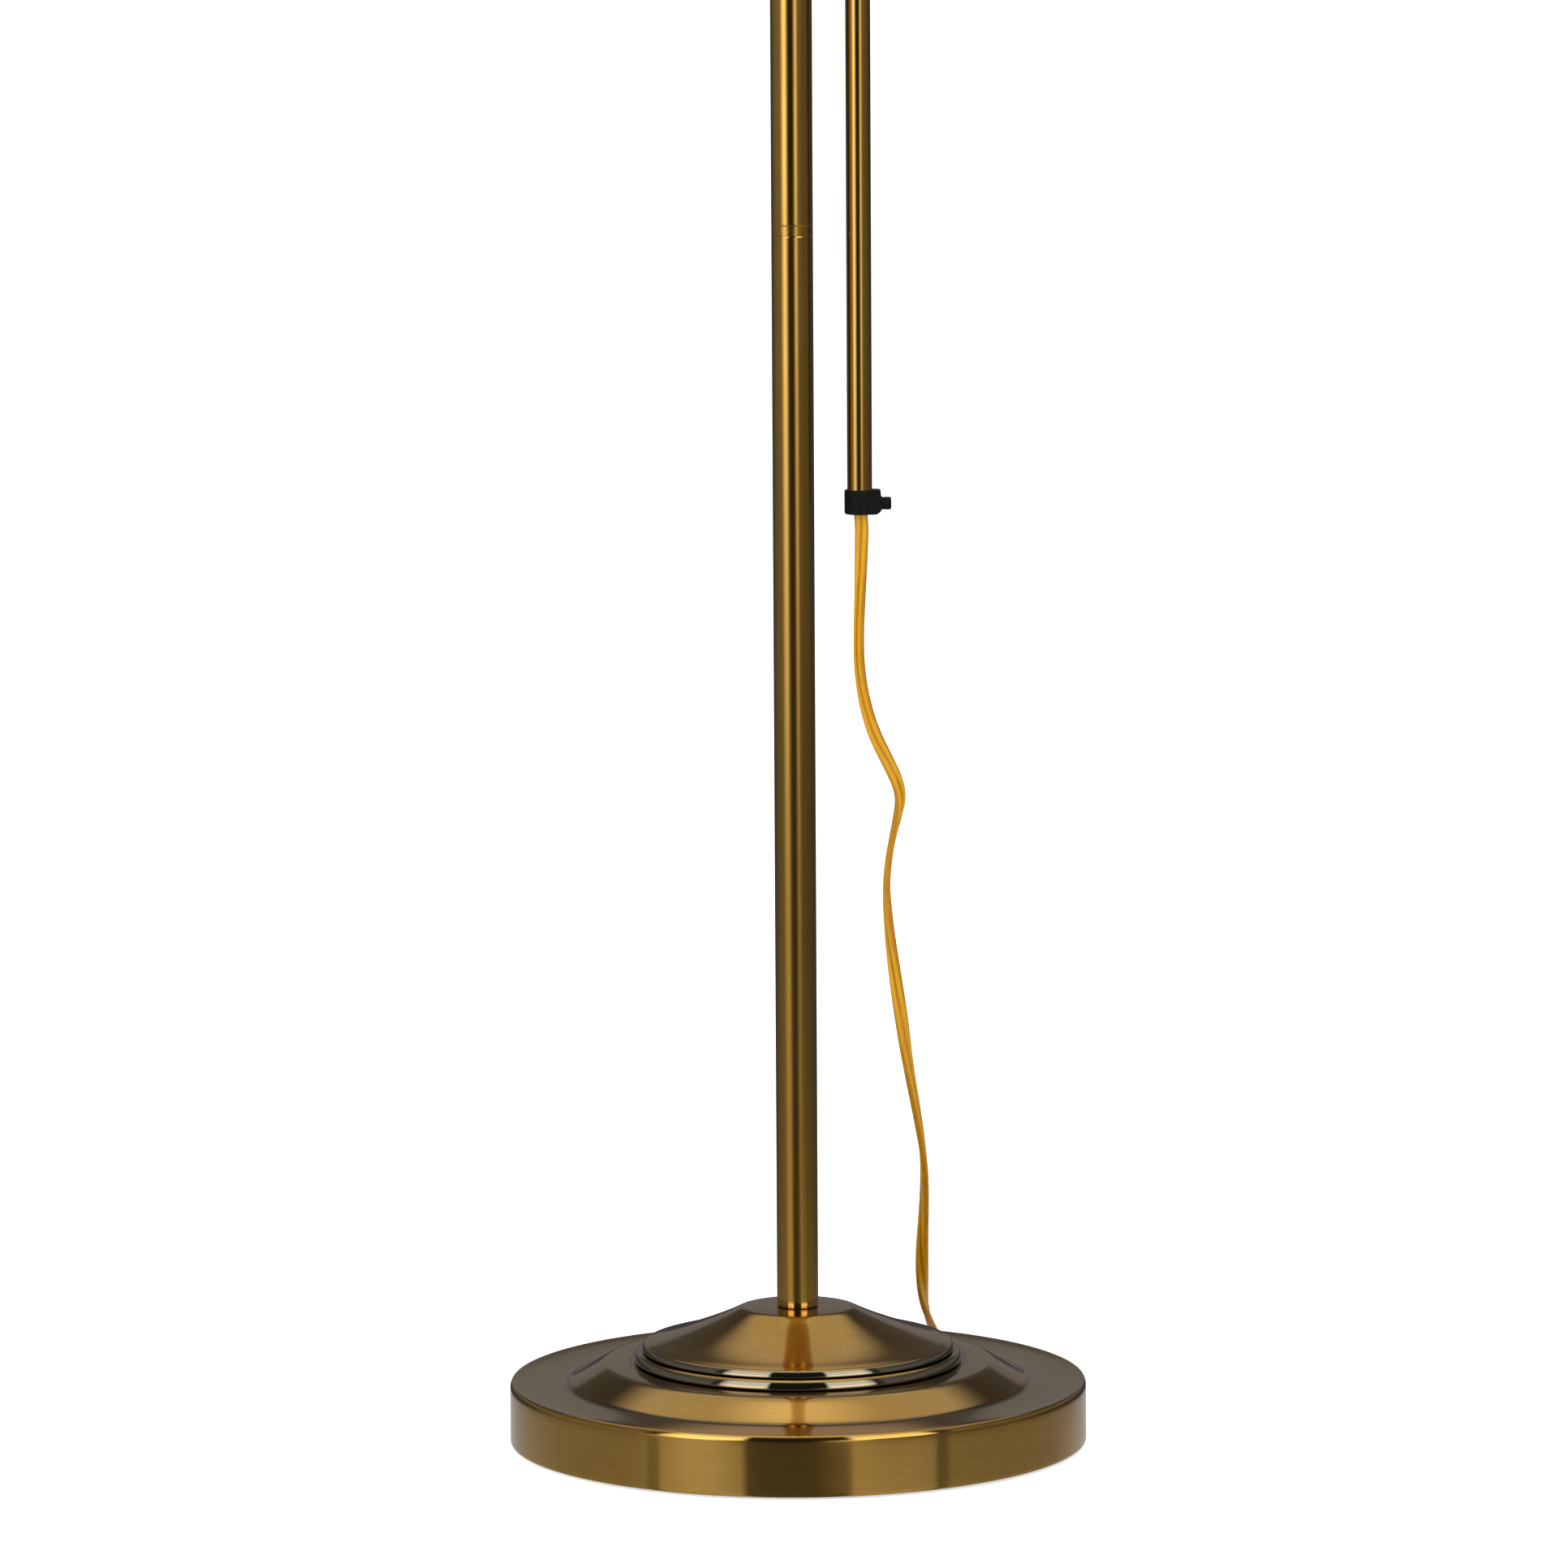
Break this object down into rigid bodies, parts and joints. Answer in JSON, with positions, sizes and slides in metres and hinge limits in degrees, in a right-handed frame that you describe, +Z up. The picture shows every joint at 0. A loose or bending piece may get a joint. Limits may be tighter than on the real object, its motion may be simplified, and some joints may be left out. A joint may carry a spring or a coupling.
{
  "type": "pharmacy floor lamp",
  "caption": "Pharmacy floor lamp: stepped round base, pole, parallel sliding rod with swivelling tilting arm and tunnel shade, flat cord with plug.",
  "frame": {"origin": "centre of the base's underside, on the floor", "axes": "+Z up along the pole, +X from the pole to the sliding rod, +Y to the back, where the cord leaves"},
  "size_m": [0.3965, 0.2963, 1.158],
  "materials": {
    "base_brass": "antique brass, turned and brushed round the axis, lacquered",
    "pole_brass": "antique brass tube, satin lacquer",
    "rod_brass": "antique brass tube, satin lacquer",
    "fitting_brass": "antique brass, satin lacquer",
    "shade_brass": "antique brass outside, brushed",
    "dark_brass": "dull brass, unpolished",
    "black_collar": "black, moulded, slightly mottled",
    "black_screw": "black screw",
    "black_knob": "black moulded knob",
    "nylon": "black nylon",
    "cast_iron": "rough casting, dark paint",
    "felt": "dark felt pad",
    "steel": "zinc plated",
    "amber_cord": "translucent amber flat twin cord",
    "amber_plug": "amber moulded plug",
    "blade": "bright brass contact",
    "tie": "black woven strap",
    "phenolic": "dark brown phenolic",
    "alu_thread": "rolled aluminium thread",
    "bulb_glass": "frosted inside"
  },
  "bodies": {
    "stand": {"base_pad": "felt", "base_weight": "cast_iron", "base_cover": "base_brass", "check_ring": "base_brass", "dome_cap": "base_brass", "base_nipple": "steel", "nipple_washer": "steel", "base_nut": "steel", "foot_bushing": "dark_brass", "lower_pole": "pole_brass", "pole_coupling": "pole_brass", "upper_pole": "pole_brass", "top_bushing": "dark_brass", "top_nipple": "steel", "clamp_block": "fitting_brass", "rod_bush": "nylon", "pole_finial": "fitting_brass", "cord_hanging": "amber_cord", "cord_hank": "amber_cord", "hank_tie_rear": "tie", "hank_tie_front": "tie", "plug_body": "amber_plug", "plug_blade_wide": "blade", "plug_blade_narrow": "blade"},
    "clamp_screw": {"clamp_knob": "fitting_brass"},
    "slide_rod": {"rod": "rod_brass", "rod_collar": "black_collar", "collar_screw": "black_screw", "lead_in_rod": "amber_cord", "swivel_stud": "dark_brass"},
    "swivel": {"swivel_fork": "fitting_brass", "tilt_bolt": "dark_brass"},
    "tilt_screw": {"tilt_knob": "fitting_brass"},
    "arm": {"arm_knuckle": "fitting_brass", "arm_tube": "rod_brass", "lead_in_arm": "amber_cord", "socket_husk": "fitting_brass", "socket_body": "phenolic", "screw_shell": "alu_thread", "centre_contact": "blade", "bulb_base": "alu_thread", "bulb_glass": "bulb_glass", "shade_ring": "dark_brass"},
    "key": {"switch_key": "black_knob"},
    "shade": {"shade": "shade_brass"}
  },
  "joints": [
    {"name": "rod_slide", "type": "slide", "parent": "stand", "child": "slide_rod", "axis": [0, 0, 1], "range_m": [-0.22, 0.42], "deforming": ["cord_hanging"]},
    {"name": "clamp_knob_turn", "type": "hinge", "parent": "stand", "child": "clamp_screw", "pos_m": [0.0252, 0, 0.812], "axis": [1, 0, 0], "range_deg": [0, 360]},
    {"name": "swivel_turn", "type": "hinge", "parent": "slide_rod", "child": "swivel", "pos_m": [0.0252, 0, 1.085], "axis": [0, 0, 1], "range_deg": [-170, 170]},
    {"name": "arm_tilt", "type": "hinge", "parent": "swivel", "child": "arm", "pos_m": [0.0252, 0, 1.11], "axis": [0, 1, 0], "range_deg": [-40, 60]},
    {"name": "tilt_knob_turn", "type": "hinge", "parent": "swivel", "child": "tilt_screw", "pos_m": [0.0252, -0.012, 1.11], "axis": [0, -1, 0], "range_deg": [0, 360]},
    {"name": "shade_roll", "type": "hinge", "parent": "arm", "child": "shade", "pos_m": [-0.11, 0, 1.11], "axis": [1, 0, 0], "range_deg": [-120, 120]},
    {"name": "switch_turn", "type": "hinge", "parent": "arm", "child": "key", "pos_m": [-0.0968, -0.022, 1.11], "axis": [0, -1, 0], "continuous": true}
  ]
}
